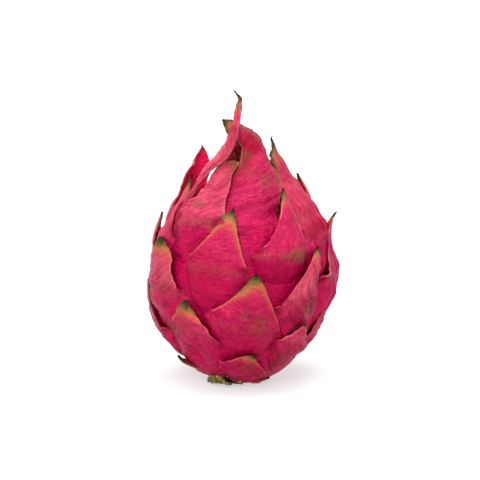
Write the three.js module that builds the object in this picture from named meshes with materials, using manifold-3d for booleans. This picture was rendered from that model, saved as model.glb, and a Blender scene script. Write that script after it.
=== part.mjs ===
// Dragon fruit (red pitahaya) standing on its stem end.
// Millimetres, +Z up, -Y is the front, X to the right. The origin is the middle of the resting face.
//
// The fruit is one fleshy body whose peel carries leaf-like bracts. Every bract is a lens-shaped blade laid
// on a guide surface: the smooth egg that wraps the fruit, bracts and all. A place near that egg is given by
//   az   degrees round the upright axis, 0 at the front, + to the right
//   up   millimetres along the egg's surface from the middle of the resting face
//   out  millimetres outwards, square to the egg's surface
import * as THREE from 'three';
import Module from 'manifold-3d';

const wasm = await Module();
wasm.setup();
const { Manifold, Mesh } = wasm;

const egg = {
  radius: 44,        // widest half width of the guide surface
  widest: 46,        // height of the widest place
  lower: 48,         // half height of the curve under it: a little more than `widest`, so the foot is flat
  bottom: 1.7,       // fullness of that curve: 2 would be an ellipse
  upper: 104,        // from the widest place to the point where the guide surface closes
  shoulder: 2.4,     // fullness of the shoulder
  taper: 2.0,        // how slim the crown is
};
// The peel lies `under` mm inside the egg, from `underFrom` to `underFull` up, and closes under the crown.
// The other values are heights, and one more ring inside the navel, as shares of its radius and its depth.
const skin = {
  under: 2.6, underFrom: 5, underFull: 24, leaves: 74, top: 100, navelRim: 98.6, navelFloor: 93,
  navelShare: 0.6, navelDrop: 0.45,
};
const lumps = { pair: 0.012, turn: 0.7, triple: 0.010, pitch: 19 };   // unevenness, as shares of the radius
const blade = {
  sunk: 0.5, spine: 2.6, spineTip: 1.1, marginShare: 0.4, thinnest: 0.8, tipWidth: 0.9,
  tipCloseness: 4,   // no tip is nearer the axis than this when its width is turned into degrees
};
// How the sheet of a bract bends: the share of the free blade by which it stands off as far as its tip does,
// the share by which its margins have left the peel, the power by which a creased root rises, how wide the
// root starts, and where a blade with `free` lines goes over to them.
const bend = {
  tucked: 0.7, seated: 0.14, rootPower: 1.3, rootWidth: 0.15, freeFrom: 0.02, freeSpan: 0.25,
};
// Rows and columns of a bract, and of the body.
const cells = { across: 4, acrossFree: 6, foot: 2, along: 6, round: 28, rings: 13 };

const rad = Math.PI / 180;
const mix = (a, b, k) => a + (b - a) * k;
const clamp = (x, a = 0, b = 1) => Math.min(b, Math.max(a, x));
const smooth = (x) => { const k = clamp(x); return k * k * (3 - 2 * k); };

// ---- the guide surface ----
function eggRadius(z) {
  if (z < egg.widest) return egg.radius * Math.sqrt(1 - clamp((egg.widest - z) / egg.lower) ** egg.bottom);
  const rise = clamp((z - egg.widest) / egg.upper);
  return egg.radius * (1 - rise ** egg.shoulder) ** egg.taper;
}

function skinRadius(z) {
  const under = skin.under * smooth((z - skin.underFrom) / (skin.underFull - skin.underFrom));
  const closing = clamp((z - skin.leaves) / (skin.top - skin.leaves));
  return (eggRadius(z) - under) * Math.sqrt(1 - closing * closing);
}

// The egg's meridian by arc length: the flat foot first, then its side up to the point.
const meridian = (() => {
  const steps = 1500;
  const top = egg.widest + egg.upper - 0.02;   // a hair under the point, where the radius would be 0
  const rows = [{ up: 0, r: 0, z: 0 }, { up: eggRadius(0), r: eggRadius(0), z: 0 }];
  for (let i = 1; i <= steps; i++) {
    const z = top * i / steps;
    const last = rows[rows.length - 1];
    const r = eggRadius(z);
    rows.push({ up: last.up + Math.hypot(r - last.r, z - last.z), r, z });
  }
  return rows;
})();

function onMeridian(up) {
  let low = 0;
  let high = meridian.length - 1;
  while (high - low > 1) {
    const middle = (low + high) >> 1;
    if (meridian[middle].up <= up) low = middle; else high = middle;
  }
  const a = meridian[low];
  const b = meridian[high];
  const k = clamp((up - a.up) / (b.up - a.up));
  return { r: mix(a.r, b.r, k), z: mix(a.z, b.z, k) };
}

// Point on the meridian with its outward direction, from two places a little either side of it.
function guide(up) {
  const beside = 1.5;
  const here = onMeridian(up);
  const below = onMeridian(Math.max(0, up - beside));
  const above = onMeridian(up + beside);
  const length = Math.hypot(above.r - below.r, above.z - below.z) || 1;
  return { ...here, outR: (above.z - below.z) / length, outZ: -(above.r - below.r) / length };
}

const lump = (az, z) => 1 + lumps.pair * Math.sin(2 * az * rad + lumps.turn)
  + lumps.triple * Math.sin(3 * az * rad + z / lumps.pitch);

function place(az, up, out) {
  const g = guide(up);
  const r = g.r * lump(az, g.z) + g.outR * out;
  return new THREE.Vector3(r * Math.sin(az * rad), -r * Math.cos(az * rad), g.z + g.outZ * out);
}

// How far the peel lies inside the guide surface.
function skinGap(up) {
  const g = guide(up);
  return (g.r - skinRadius(g.z)) * g.outR;
}

// ---- the bracts ----
// left, right: [az, up, spread, hollow] of the two axils, where the free blade leaves the peel. `spread`
//   under 1 leaves the margin steep at the axil; `hollow` keeps the blade broad until near the tip.
// tip: [az, up, out]. root: where the foot of the bract dies out in the peel, as `up`.
// belly: how proud the spine stands at the axil, from where it runs to the tip's `out`. sag: how much lower
//   the margins lie. ridge: 1 for a bract creased along the line between its axils, 0 for one round there.
// free: for blades that stand clear of the egg, three lines of [x, y, z] from the axil to the tip: the left
//   margin, the spine and the right margin. fold: 0 for a rounded blade, 1 for one creased along its spine.
const bracts = [
  // foot
  { name: 'foot right', left: [16, 15, .8, .1], right: [60, 15.5, .8, .1], tip: [46, 20.5, .9],
    root: 12, belly: .5, sag: .2 },
  { name: 'foot front', left: [-24, 38, .7, .1], right: [29, 26, 1, -.1], tip: [9.5, 46.5, 3.6],
    root: 14, belly: 2.6 },
  { name: 'foot left', left: [-98, 27, .8, 0], right: [-48, 23, .8, 0], tip: [-72, 37, 2.2],
    root: 16, belly: .6, sag: .2 },
  // low ring
  { name: 'low left', left: [-56, 58, .8, .1], right: [-9.5, 48.5, .85, 0], tip: [-34, 73, 3.4], root: 32 },
  { name: 'low right', left: [24, 52, .7, 0], right: [60, 42, .6, .1], tip: [45, 60, 3.2], root: 26 },
  { name: 'outline left', left: [-116, 56, .8, .1], right: [-70, 50, .9, .1], tip: [-94, 75, 3.6],
    root: 26, belly: 3.2 },
  { name: 'outline right', left: [54, 45, .8, .1], right: [100, 49, .9, .1], tip: [83, 65, 1.4],
    root: 32, belly: 1.2 },
  { name: 'low back left', left: [-156, 42, .8, .1], right: [-106, 38, .8, .1], tip: [-130, 58, 3.5],
    root: 24 },
  { name: 'low back', left: [162, 46, .8, .1], right: [212, 44, .8, .1], tip: [188, 62, 3.5], root: 28 },
  { name: 'low back right', left: [102, 40, .8, .1], right: [156, 42, .8, .1], tip: [128, 56, 3.5],
    root: 24 },
  // middle ring
  { name: 'middle front', left: [-26, 67, .6, 0], right: [28, 54, 1, 0], tip: [9.7, 87.2, 5],
    root: 38, belly: 3.6, ridge: .5 },
  { name: 'middle right', left: [20, 66, 1, 0], right: [66, 78, .5, .1], tip: [56.5, 96, 4.6],
    root: 44, belly: 3, sag: 2.4 },
  { name: 'middle left', left: [-100, 78, .8, .2], right: [-35, 73, .6, .3], tip: [-64, 100, 4.4],
    root: 46, belly: 3.4, sag: 3.2, ridge: .1 },
  { name: 'middle back left', left: [-154, 72, .8, .1], right: [-104, 76, .8, .1], tip: [-128, 96, 4],
    root: 54 },
  { name: 'middle back', left: [170, 68, .8, .1], right: [218, 66, .8, .1], tip: [195, 88, 4], root: 46 },
  { name: 'middle back right', left: [128, 66, .8, .1], right: [176, 66, .8, .1], tip: [152, 86, 4],
    root: 44 },
  { name: 'right behind', left: [94, 68, .8, .1], right: [142, 72, .8, .1], tip: [120, 92, 4], root: 50 },
  { name: 'curled right', left: [60, 78, .7, .2], right: [116, 76, .8, .1], tip: [92, 108, 9],
    root: 46, belly: 5,
    free: [
      [[44, -16, 58.4], [43.8, -14, 69], [44.5, -11, 78.5], [48, -3, 85]],
      [[48.3, 0, 60], [46.3, -1, 68], [45.6, -2, 78], [48.1, -3, 85]],
      [[44, 18, 60], [44, 12, 70], [45.5, 5, 79], [48.2, -3, 85]],
    ] },
  // upper ring
  { name: 'upper front', left: [-40, 91, .8, .05], right: [8, 86, .5, 0], tip: [-4.8, 117, 4.8],
    root: 62, belly: 3.8, ridge: .7 },
  { name: 'upper right', left: [5, 95.5, .72, .05], right: [47.5, 91, .95, 0], tip: [39.5, 126.5, 4.4],
    root: 80, belly: 6.4, ridge: 1 },
  { name: 'upper left', left: [-122, 84, .8, .2], right: [-74, 82, .8, .2], tip: [-93, 109.5, 3.6],
    root: 60 },
  { name: 'upper back left', left: [-176, 98, .8, .1], right: [-124, 98, .8, .1], tip: [-150, 120, 4],
    root: 76 },
  { name: 'upper back', left: [146, 94, .8, .1], right: [194, 94, .8, .1], tip: [170, 117, 4], root: 72 },
  { name: 'upper back right', left: [108, 94, .8, .1], right: [156, 92, .8, .1], tip: [132, 116, 4],
    root: 70 },
  // crown
  { name: 'ragged right', left: [38, 98, .6, .1], right: [98, 100, .8, .2], tip: [78, 157, 5],
    root: 76, belly: 4.4, ridge: .2,
    free: [
      [[24.5, -25.5, 88], [18.5, -14, 103.2], [16, -9, 108.4], [14.5, -6, 112.2], [15, -3.5, 117.2],
        [15.4, -2, 122.7]],
      [[34, -12, 90.5], [27.5, -9, 99.5], [22.5, -7, 107], [18, -4.5, 115.5], [15.5, -2, 122.8]],
      [[31, 8, 95.5], [25.5, 5, 104], [20.5, 2, 113], [15.6, -2, 122.7]],
    ] },
  { name: 'narrow left', left: [-86, 98, .8, .2], right: [-58, 100, .8, .2], tip: [-67, 136, 3.5], root: 84,
    free: [
      [[-33, -14, 86.8], [-29, -13, 95.8], [-26.3, -12, 100.6], [-24, -11, 105.3]],
      [[-33, -18, 88.5], [-28.8, -17, 95.5], [-26, -15, 100.3], [-24, -11, 105.5]],
      [[-30.5, -19, 90.4], [-27, -18.5, 94.1], [-24.5, -16, 99.3], [-23.8, -11, 105.3]],
    ] },
  { name: 'broad crown', left: [-16, 104, .3, .1], right: [46, 112, .8, .3], tip: [-50, 168, 3],
    root: 80, belly: 1.6,
    free: [
      [[-8.5, -28.5, 96.3], [-5.5, -24.5, 104], [-.8, -20.5, 112], [.4, -17.5, 118.5], [-5.6, -16, 124.5],
        [-7.6, -15.5, 129], [-8.8, -15, 132.8]],
      [[7, -29.5, 101], [8, -22.5, 111], [6.5, -18, 118], [2.5, -17, 124.5], [-3, -17, 129.3],
        [-8.6, -15, 133]],
      [[17.6, -15.5, 105.5], [13.8, -12, 113.5], [11.3, -10, 120], [9.3, -9.5, 124.5], [4.4, -11, 128.4],
        [.3, -12.5, 131], [-4, -14, 132.7], [-8.3, -15, 133.2]],
    ] },
  { name: 'bent crown', left: [-60, 110, .8, 0], right: [-12, 110, .4, 0], tip: [-10, 145, -2],
    root: 88, belly: 4, ridge: 1,
    free: [
      [[-33, -19, 86.5], [-25.5, -21, 93.4], [-19.5, -22, 98.6], [-15.5, -20.5, 103.4], [-12.6, -18, 108.6],
        [-8, -15.5, 112.6]],
      [[-21, -29, 91], [-14, -28, 98], [-9.5, -25, 105], [-6, -20.5, 110.5], [-4.5, -15, 112.6]],
      [[-8, -35, 91], [-6, -31.5, 99.4], [-4, -26.5, 107.2], [-1, -21.5, 112.6], [-3, -15, 112.6]],
    ] },
  { name: 'tall strap', left: [-85, 106, .5, 0], right: [-58, 106, .5, 0], tip: [-60, 175, 4],
    root: 94, belly: 1.4, fold: .6,
    free: [
      [[-23, -18, 101], [-18.5, -18.5, 109.2], [-12, -18.5, 116], [-6.6, -19, 124], [-3.4, -17, 133.6],
        [-2, -13.5, 140], [-.8, -11, 142.4], [-2.8, -9, 146.2]],
      [[-20, -20, 103], [-15, -20.5, 109], [-8, -20.5, 114.3], [-3.8, -20.5, 122], [-1.2, -18.5, 132],
        [-.4, -14, 140], [0, -11, 142.6], [-2.6, -9, 146.3]],
      [[-17.4, -20, 104.4], [-12, -20.5, 109.6], [-6, -20, 113.8], [-1.8, -19.5, 120.5], [.6, -17.5, 131.5],
        [1, -13.5, 139.9], [.7, -11, 142.8], [-2.3, -9, 146]],
    ] },
  { name: 'left behind', left: [-140, 108, .7, .1], right: [-82, 110, .7, .2], tip: [-112, 152, 9],
    root: 90, belly: 1,
    free: [
      [[-17.5, 22, 96], [-15.5, 22, 103], [-15.5, 21.5, 107.5], [-17, 21, 112], [-18.8, 20, 115.3]],
      [[-26, 15, 96], [-23.5, 17, 105], [-21.3, 19, 111], [-18.9, 20, 115.5]],
      [[-30.5, 0, 95.9], [-26, 5, 104.5], [-22.3, 13, 110], [-19, 20, 115.3]],
    ] },
  { name: 'small right', left: [92, 108, .7, .1], right: [132, 108, .7, .1], tip: [106, 129.5, 4.5],
    root: 92 },
  { name: 'crown back', left: [146, 110, .7, .1], right: [194, 110, .7, .1], tip: [172, 156, 3.5],
    root: 90,
    free: [
      [[12, 15.5, 103], [9.5, 11.5, 112], [5.5, 8.5, 119], [1, 7, 124.5]],
      [[1.5, 19.5, 104], [1, 15, 112], [.6, 10.5, 119], [.8, 7, 124.7]],
      [[-10.5, 15.5, 103], [-8.5, 11.5, 111], [-5.5, 8.5, 117.5], [.5, 7, 124.5]],
    ] },
  { name: 'crown back left', left: [172, 111, .7, .1], right: [205, 112, .7, .1], tip: [195, 142, 2],
    root: 94, belly: 1 },
  { name: 'crown back right', left: [116, 112, .7, .1], right: [152, 113, .7, .1], tip: [146, 141, 2.5],
    root: 94 },
  // inside the crown, round the navel: az, up of the tip and belly of blades well inside the guide surface
  ...[[20, 146, -8.5], [78, 146, -8.5], [135, 146, -8.5], [190, 146, -8.5], [228, 144, -9.5],
    [262, 138, -12.5]].map(([az, tipUp, belly]) => (
      { name: `inner ${az}`, left: [az - 24, 127, .7, .1], right: [az + 24, 127, .7, .1],
        tip: [az - 4, tipUp, belly + 1.5], root: 114, belly, sag: 0 })),
];

// A smooth line through given points, by share of its length: cubic pieces, slopes from the neighbours.
function lineThrough(points) {
  const at = [0];
  for (let i = 1; i < points.length; i++) at.push(at[i - 1] + points[i].distanceTo(points[i - 1]));
  const share = at.map((d) => d / at[at.length - 1]);
  const last = points.length - 1;
  const slope = points.map((p, i) => {
    if (i === 0) return points[1].clone().sub(p).divideScalar(share[1] - share[0]);
    if (i === last) return p.clone().sub(points[i - 1]).divideScalar(share[i] - share[i - 1]);
    const a = share[i] - share[i - 1];
    const b = share[i + 1] - share[i];
    const before = p.clone().sub(points[i - 1]).divideScalar(a);
    const after = points[i + 1].clone().sub(p).divideScalar(b);
    return before.multiplyScalar(b / (a + b)).add(after.multiplyScalar(a / (a + b)));
  });
  return (t) => {
    let i = 0;
    while (i < last - 1 && t >= share[i + 1]) i++;
    const h = share[i + 1] - share[i];
    const s = (t - share[i]) / h;
    return points[i].clone().multiplyScalar(2 * s ** 3 - 3 * s ** 2 + 1)
      .addScaledVector(slope[i], h * (s ** 3 - 2 * s ** 2 + s))
      .addScaledVector(points[i + 1], 3 * s ** 2 - 2 * s ** 3)
      .addScaledVector(slope[i + 1], h * (s ** 3 - s ** 2));
  };
}

const hollowPeak = 27 / 256;   // largest value of t^3 (1 - t)
const marginPath = (t, spread, hollow) => t ** spread - hollow / hollowPeak * t ** 3 * (1 - t);

// One bract: u runs -1..1 across it, v from -1 at its foot in the peel, past 0 at the axils, to 1 at its
// tip.
function bractSurface(b) {
  const { belly = 2.4, sag = 1.2, ridge = 0.5, fold = 0 } = b;
  const [leftAz, leftUp, leftSpread, leftHollow] = b.left;
  const [rightAz, rightUp, rightSpread, rightHollow] = b.right;
  const [tipAz, tipUp, tipOut] = b.tip;
  const tipHalf = blade.tipWidth / 2 / Math.max(blade.tipCloseness, guide(tipUp).r) / rad;   // degrees
  const middleAz = (leftAz + rightAz) / 2;

  const lines = b.free && [
    place(leftAz, leftUp, belly - sag),
    place(middleAz, (leftUp + rightUp) / 2, belly),
    place(rightAz, rightUp, belly - sag),
  ].map((start, i) => lineThrough([start, ...b.free[i].map((p) => new THREE.Vector3(...p))]));

  const side = (az, up, spread, hollow, half, s, t) => (s < 1
    ? [mix(middleAz, az, mix(bend.rootWidth, 1, Math.sin(s * Math.PI / 2))),
      mix(b.root, up, 1 - Math.cos(s * Math.PI / 2))]
    : [az + (tipAz + half - az) * marginPath(t, spread, hollow), mix(up, tipUp, t)]);

  return (u, v) => {
    const s = clamp(1 + v);
    const t = clamp(v);
    const left = side(leftAz, leftUp, leftSpread, leftHollow, -tipHalf, s, t);
    const right = side(rightAz, rightUp, rightSpread, rightHollow, tipHalf, s, t);
    const az = mix(left[0], right[0], (u + 1) / 2);
    const up = mix(left[1], right[1], (u + 1) / 2);
    const proud = mix(belly * smooth(s), tipOut, smooth(t / bend.tucked));
    const drop = sag * u * u * smooth(s) * (1 - t / 2);
    const rise = mix(smooth(s), s ** bend.rootPower, ridge);
    const emerged = s < 1 ? rise * (1 - u ** 4) : 1 - u ** 4 * (1 - smooth(t / bend.seated));
    const point = place(az, up, mix(-skinGap(up) - blade.sunk, proud - drop, emerged));
    if (lines && v > 0) {
      const [l, m, r] = lines.map((line) => line(t));
      const round = l.clone().multiplyScalar((u * u - u) / 2).addScaledVector(m, 1 - u * u)
        .addScaledVector(r, (u * u + u) / 2);
      const creased = m.clone().lerp(u < 0 ? l : r, Math.abs(u));
      point.lerp(round.lerp(creased, fold), smooth((t - bend.freeFrom) / bend.freeSpan));
    }
    return point;
  };
}

// A closed blade: the outer face, the inner face behind it by the blade's thickness, and the rim between.
// The same diagonals split both faces.
function bractSolid(b) {
  const surface = bractSurface(b);
  const across = b.free ? cells.acrossFree : cells.across;
  const columns = across + 1;
  const rows = cells.foot + cells.along + 1;
  const vOf = (j) => (j < cells.foot ? j / cells.foot - 1 : (j - cells.foot) / cells.along);
  const outer = [];
  for (let j = 0; j < rows; j++) {
    for (let i = 0; i < columns; i++) outer.push(surface(2 * i / across - 1, vOf(j)));
  }
  const at = (i, j) => outer[clamp(j, 0, rows - 1) * columns + clamp(i, 0, columns - 1)];
  const inner = outer.map((p, n) => {
    const i = n % columns;
    const j = (n - i) / columns;
    const sideways = at(i + 1, j).clone().sub(at(i - 1, j));
    const tipwards = at(i, j + 1).clone().sub(at(i, j - 1));
    const inward = tipwards.cross(sideways).normalize();
    const u = 2 * i / across - 1;
    const thick = mix(blade.spine, blade.spineTip, clamp(vOf(j))) * mix(1, blade.marginShare, u * u);
    return p.clone().addScaledVector(inward, Math.max(blade.thinnest, thick));
  });
  const points = [...outer, ...inner];
  const back = outer.length;
  const faces = [];
  for (let j = 0; j < rows - 1; j++) {
    for (let i = 0; i < columns - 1; i++) {
      const a = j * columns + i;
      const [p, q, r, s] = [a, a + 1, a + 1 + columns, a + columns];
      faces.push([p, q, r], [p, r, s], [back + q, back + p, back + r], [back + r, back + p, back + s]);
    }
  }
  const rim = [];
  for (let i = 0; i < columns - 1; i++) rim.push(i);
  for (let j = 0; j < rows - 1; j++) rim.push(j * columns + columns - 1);
  for (let i = columns - 1; i > 0; i--) rim.push((rows - 1) * columns + i);
  for (let j = rows - 1; j > 0; j--) rim.push(j * columns);
  rim.forEach((a, n) => {
    const c = rim[(n + 1) % rim.length];
    faces.push([a, back + a, c], [c, back + a, back + c]);
  });
  return solidFrom(points, faces);
}

// ---- between three.js geometry and solids ----
function solidFrom(points, faces) {
  const solid = new Manifold(new Mesh({
    numProp: 3,
    vertProperties: new Float32Array(points.flatMap((p) => [p.x, p.y, p.z])),
    triVerts: new Uint32Array(faces.flat()),
  }));
  return solid.volume() < 0 ? solidFrom(points, faces.map(([a, c, d]) => [a, d, c])) : solid;
}

// Seams and poles of three.js geometry are welded first, so the solid is closed.
function solidOf(geometry) {
  const seen = new Map();
  const points = [];
  const index = [];
  const spots = geometry.attributes.position;
  for (let i = 0; i < spots.count; i++) {
    const p = new THREE.Vector3().fromBufferAttribute(spots, i);
    const key = p.toArray().map((x) => Math.round(x * 1e4)).join();
    if (!seen.has(key)) { seen.set(key, points.length); points.push(p); }
    index.push(seen.get(key));
  }
  const order = geometry.index ? [...geometry.index.array] : index.map((_, i) => i);
  const faces = [];
  for (let i = 0; i < order.length; i += 3) {
    const face = [index[order[i]], index[order[i + 1]], index[order[i + 2]]];
    if (new Set(face).size === 3) faces.push(face);
  }
  return solidFrom(points, faces);
}

function meshOf(name, solid, material) {
  const body = solid.decompose().reduce((a, b) => (b.volume() > a.volume() ? b : a));
  const { vertProperties, triVerts } = body.getMesh();
  const geometry = new THREE.BufferGeometry();
  geometry.setAttribute('position', new THREE.BufferAttribute(new Float32Array(vertProperties), 3));
  geometry.setIndex(new THREE.BufferAttribute(new Uint32Array(triVerts), 1));
  geometry.computeVertexNormals();
  const part = new THREE.Mesh(geometry, material);
  part.name = name;
  return part;
}

// ---- the body: a lathe closed at the foot and in the navel, then made uneven ----
function bodySolid() {
  const profile = [new THREE.Vector2(0, 0)];
  for (let i = 0; i <= cells.rings; i++) {
    const z = skin.navelRim * (1 - Math.cos(Math.PI * i / cells.rings)) / 2;
    profile.push(new THREE.Vector2(skinRadius(z), z));
  }
  const rimRadius = skinRadius(skin.navelRim);
  const inNavel = mix(skin.navelRim, skin.navelFloor, skin.navelDrop);
  profile.push(new THREE.Vector2(rimRadius * skin.navelShare, inNavel));
  profile.push(new THREE.Vector2(0, skin.navelFloor));
  const geometry = new THREE.LatheGeometry(profile, cells.round);
  geometry.rotateX(Math.PI / 2);
  const spots = geometry.attributes.position;
  for (let i = 0; i < spots.count; i++) {
    const p = new THREE.Vector3().fromBufferAttribute(spots, i);
    const swell = lump(Math.atan2(p.x, -p.y) / rad, p.z);
    spots.setXYZ(i, p.x * swell, p.y * swell, p.z);
  }
  return solidOf(geometry);
}

// ---- the dried stub of the stem: a ribbed, slightly leaning plug cut across at the foot ----
const stub = {
  x: -6.5, y: -15, height: 9.5, leanX: 0.8, leanY: 1.6, clearance: 0.35, sides: 32,
  rings: [{ radius: 7.2, z: 0, turn: 0 }, { radius: 8.8, z: 1.6, turn: 0.3 },
    { radius: 8.2, z: 4, turn: 0.6 }, { radius: 6.4, z: 9.5, turn: 0.9 }],
  ribs: [{ count: 2, depth: 0.7, at: 0.4 }, { count: 5, depth: 0.5, at: 1.9 },
    { count: 8, depth: 0.6, at: 0 }],
};

// The plug itself, or with `grow` the room cut for it in the fruit.
function stubSolid(grow = 0) {
  const { sides } = stub;
  const foot = grow ? -1 : 0;
  const ring = (radius, z, turn) => Array.from({ length: sides }, (_, i) => {
    const a = i / sides * 2 * Math.PI;
    const rib = stub.ribs.reduce((sum, { count, depth, at }) => (
      sum + depth * Math.cos(count * a + at + turn)), 0);
    const r = radius + grow + rib;
    const k = z / stub.height;
    const x = stub.x + stub.leanX * k;
    const y = stub.y + stub.leanY * k;
    return new THREE.Vector3(x + r * Math.cos(a), y + r * Math.sin(a), z);
  });
  const last = stub.rings.length - 1;
  const rings = stub.rings.map(({ radius, z, turn }, n) => (
    ring(radius, n === 0 ? foot : z + (n === last ? grow : 0), turn)));
  const points = [...rings.flat(), new THREE.Vector3(stub.x, stub.y, foot),
    new THREE.Vector3(stub.x + stub.leanX, stub.y + stub.leanY, stub.height + grow)];
  const faces = [];
  const footMiddle = points.length - 2;
  for (let i = 0; i < sides; i++) {
    const n = (i + 1) % sides;
    for (let j = 0; j < rings.length - 1; j++) {
      const [a, c] = [j * sides + i, j * sides + n];
      faces.push([a, c, c + sides], [a, c + sides, a + sides]);
    }
    const top = last * sides;
    faces.push([footMiddle, n, i], [footMiddle + 1, top + i, top + n]);
  }
  return solidFrom(points, faces);
}

// ---- the dried remains of the flower: leaning strands on a small crust in the navel ----
const remnant = {
  clear: 0.4, crust: { top: 3.36, foot: 2.1, height: 2.2, lift: 0.9, sides: 12 },
  strands: 7, length: 22, shortest: 0.44, foot: 1.5, tip: 0.45, sides: 6, turn: 137.5, lean: [4.4, 7.7, 11],
  stand: 1.3, lift: 1.6,   // how far from the axis, and above the crust's foot, a strand starts
};

function remnantSolid() {
  const floor = skin.navelFloor + remnant.clear;
  const { crust } = remnant;
  const base = new THREE.CylinderGeometry(crust.top, crust.foot, crust.height, crust.sides);
  base.rotateX(Math.PI / 2);
  base.translate(0, 0, floor + crust.lift + crust.height / 2);
  const strands = Array.from({ length: remnant.strands }, (_, i) => {
    const turn = i * remnant.turn;
    const away = (turn + 90) * rad;
    const length = remnant.length * mix(remnant.shortest, 1, (1 + Math.cos(i * 2.4)) / 2);
    const strand = new THREE.CylinderGeometry(remnant.tip, remnant.foot, length, remnant.sides);
    strand.rotateX(Math.PI / 2);
    strand.translate(0, 0, length / 2);
    strand.rotateX(-remnant.lean[i % remnant.lean.length] * rad);
    strand.rotateZ(turn * rad);
    strand.translate(remnant.stand * Math.cos(away), remnant.stand * Math.sin(away), floor + remnant.lift);
    return solidOf(strand);
  });
  return Manifold.union([solidOf(base), ...strands]);
}

const underFloor = solidOf(new THREE.BoxGeometry(300, 300, 40).translate(0, 0, -20));
const fruitSolid = Manifold.union([bodySolid(), ...bracts.map(bractSolid)])
  .subtract(underFloor)
  .subtract(stubSolid(stub.clearance));

const peel = new THREE.MeshStandardMaterial({ name: 'peel', color: '#d2305f', roughness: 0.48 });
const driedStem = new THREE.MeshStandardMaterial({ name: 'dried_stem', color: '#76603a', roughness: 0.9 });
const driedFlower = new THREE.MeshStandardMaterial({
  name: 'dried_flower', color: '#4a2c22', roughness: 0.95,
});

const dragonFruit = new THREE.Group();
dragonFruit.name = 'dragon_fruit';
dragonFruit.add(
  meshOf('fruit', fruitSolid, peel),
  meshOf('stem_stub', stubSolid(), driedStem),
  meshOf('flower_remnant', remnantSolid(), driedFlower),
);
export default dragonFruit;
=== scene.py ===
import bpy
import math
import numpy as np
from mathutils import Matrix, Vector


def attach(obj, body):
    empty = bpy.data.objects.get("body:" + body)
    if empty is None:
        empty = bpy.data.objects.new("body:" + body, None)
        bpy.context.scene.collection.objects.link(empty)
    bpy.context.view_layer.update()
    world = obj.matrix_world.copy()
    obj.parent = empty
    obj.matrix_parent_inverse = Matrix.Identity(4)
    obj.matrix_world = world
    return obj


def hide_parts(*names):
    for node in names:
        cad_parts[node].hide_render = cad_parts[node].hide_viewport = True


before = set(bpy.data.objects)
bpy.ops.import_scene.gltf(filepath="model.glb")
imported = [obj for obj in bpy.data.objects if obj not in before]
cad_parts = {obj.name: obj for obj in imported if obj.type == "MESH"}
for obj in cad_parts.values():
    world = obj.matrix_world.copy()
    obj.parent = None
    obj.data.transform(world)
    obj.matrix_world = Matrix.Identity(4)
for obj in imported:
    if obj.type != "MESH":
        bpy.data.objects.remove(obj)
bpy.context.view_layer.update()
scene = bpy.context.scene
mm = 0.001   # everything below is worked out in millimetres and turned to metres when a mesh is made

# The smooth egg that wraps the fruit, bracts and all. A place near it is az (degrees round the upright
# axis, 0 at the front, + to the right), up (mm along the egg from the middle of its foot) and out (mm
# square to it).
egg = {"radius": 44, "widest": 46, "lower": 48, "bottom": 1.7, "upper": 104, "shoulder": 2.4, "taper": 2.0}
# The peel between the bracts, the lobes and dents of the whole, and the steps along the egg's meridian, with
# mm to either side for its slope.
skin = {"under": 2.6, "underFrom": 5, "underFull": 24, "leaves": 74, "top": 100,
        "navelRim": 98.6, "navelFloor": 93}
lumps = {"pair": 0.012, "pairAt": 0.7, "triple": 0.010, "pitch": 19}
dents = {"size": 15, "deep": 0.55, "small": 5.0, "smallDeep": 0.16, "fullFrom": 8, "upShare": 0.35}
meridianSteps = {"count": 3000, "topGap": 0.02, "slopeOver": 1.5}


# Eased from 0 to 1: three times k squared less twice k cubed.
def smooth(x):
    k = np.clip(x, 0, 1)
    return k * k * (3 - 2 * k)


# From a to b by the share k.
def mix(a, b, k):
    return a + (b - a) * k


# Points or vectors from their x, y and z.
def xyz(x, y, z):
    return np.stack(np.broadcast_arrays(x, y, z), axis=-1)


# A mesh, lamp or camera put into the scene.
def addObject(name, data):
    made = bpy.data.objects.new(name, data)
    scene.collection.objects.link(made)
    return made


# A slim half ellipse under the widest place, and over it a shoulder that draws in to a point.
def eggRadius(z):
    under = np.sqrt(1 - np.clip((egg["widest"] - z) / egg["lower"], 0, 1) ** egg["bottom"])
    rise = np.clip((z - egg["widest"]) / egg["upper"], 0, 1)
    return egg["radius"] * np.where(z < egg["widest"], under, (1 - rise ** egg["shoulder"]) ** egg["taper"])


# The peel between the bracts: a little inside the egg, and closed by an elliptic dome under the crown.
def skinRadius(z):
    under = skin["under"] * smooth((z - skin["underFrom"]) / (skin["underFull"] - skin["underFrom"]))
    closing = np.clip((z - skin["leaves"]) / (skin["top"] - skin["leaves"]), 0, 1)
    return (eggRadius(z) - under) * np.sqrt(1 - closing ** 2)


# The egg's meridian: arc length, radius and height.
def meridianTable():
    top = egg["widest"] + egg["upper"] - meridianSteps["topGap"]
    z = np.concatenate([[0.0], np.linspace(0, top, meridianSteps["count"])])
    r = eggRadius(z)
    r[0] = 0
    up = np.concatenate([[0], np.cumsum(np.hypot(np.diff(r), np.diff(z)))])
    return up, r, z


meridianUp, meridianR, meridianZ = meridianTable()


# The egg's radius, height and outward direction at a place on its meridian.
def guide(up):
    r, z = (np.interp(up, meridianUp, values) for values in (meridianR, meridianZ))
    low, high = np.maximum(0, up - meridianSteps["slopeOver"]), up + meridianSteps["slopeOver"]
    dr, dz = (np.interp(high, meridianUp, values) - np.interp(low, meridianUp, values)
              for values in (meridianR, meridianZ))
    length = np.hypot(dr, dz) + 1e-9
    return r, z, dz / length, -dr / length


# Two and three soft lobes round the axis, as a factor on the radius.
def lump(az, z):
    a = np.radians(az)
    pair = lumps["pair"] * np.sin(2 * a + lumps["pairAt"])
    return 1 + pair + lumps["triple"] * np.sin(3 * a + z / lumps["pitch"])


# The point at az, up and out.
def place(az, up, out):
    r, z, outR, outZ = guide(up)
    r = r * lump(az, z) + outR * out
    a = np.radians(az)
    return xyz(r * np.sin(a), -r * np.cos(a), z + outZ * out)


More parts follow.
